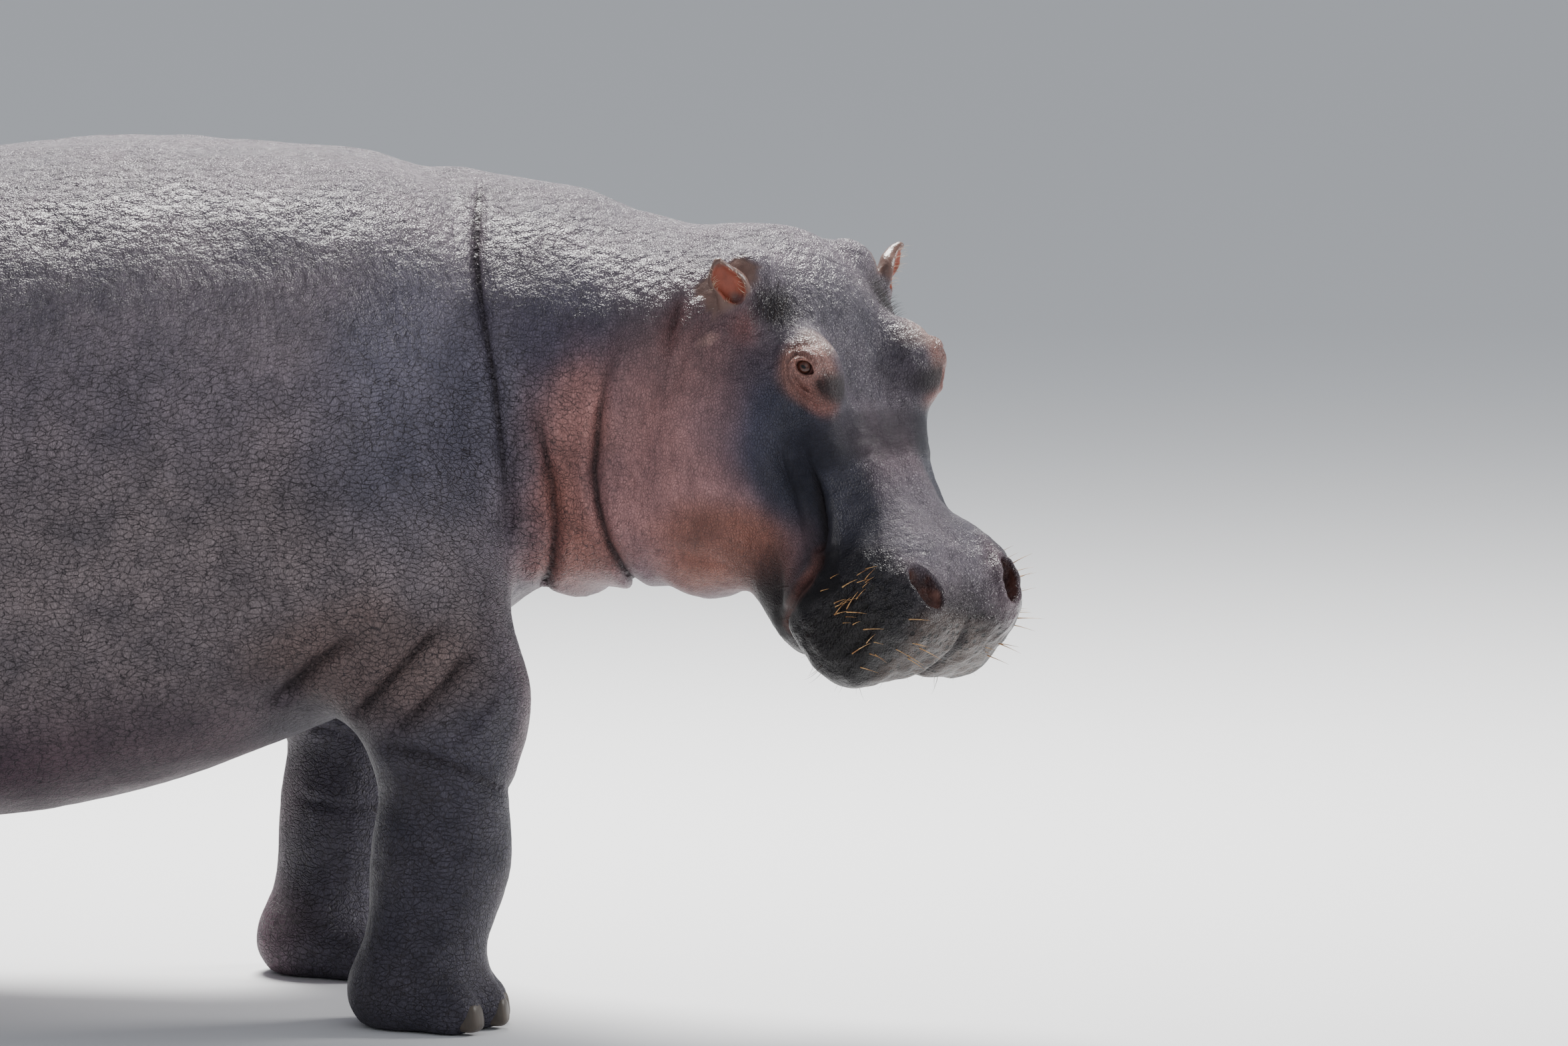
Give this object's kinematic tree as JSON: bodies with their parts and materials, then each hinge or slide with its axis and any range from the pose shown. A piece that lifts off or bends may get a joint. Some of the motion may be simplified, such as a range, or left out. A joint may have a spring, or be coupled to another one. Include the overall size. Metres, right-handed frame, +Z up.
{
  "type": "hippopotamus, life-size standing animal model",
  "caption": "Life-size still model of an adult hippopotamus standing on all four feet, with its head lowered and turned to its right.",
  "frame": {"origin": "on the floor under the middle of the whole animal's box", "axes": "+X forward along the trunk, +Y to the animal's left, +Z up; the head is turned to its right (-Y)"},
  "size_m": [2.9963, 1.168, 1.4072],
  "materials": {
    "skin": "thick bare hide, slate grey on the back and pink in the folds, finely cracked, moist and glossy on top",
    "eye": "wet dark brown eyeball",
    "nail": "dull horn, dark grey-brown"
  },
  "bodies": {
    "root": {"trunk": "skin", "neck": "skin", "head": "skin", "lower_jaw": "skin", "right_ear": "skin", "left_ear": "skin", "tail": "skin", "right_foreleg": "skin", "left_foreleg": "skin", "right_hindleg": "skin", "left_hindleg": "skin", "right_forefoot": "skin", "left_forefoot": "skin", "right_hindfoot": "skin", "left_hindfoot": "skin", "right_eye": "eye", "left_eye": "eye", "right_forefoot_nail_1": "nail", "right_forefoot_nail_2": "nail", "right_forefoot_nail_3": "nail", "right_forefoot_nail_4": "nail", "left_forefoot_nail_1": "nail", "left_forefoot_nail_2": "nail", "left_forefoot_nail_3": "nail", "left_forefoot_nail_4": "nail", "right_hindfoot_nail_1": "nail", "right_hindfoot_nail_2": "nail", "right_hindfoot_nail_3": "nail", "right_hindfoot_nail_4": "nail", "left_hindfoot_nail_1": "nail", "left_hindfoot_nail_2": "nail", "left_hindfoot_nail_3": "nail", "left_hindfoot_nail_4": "nail"}
  },
  "joints": []
}
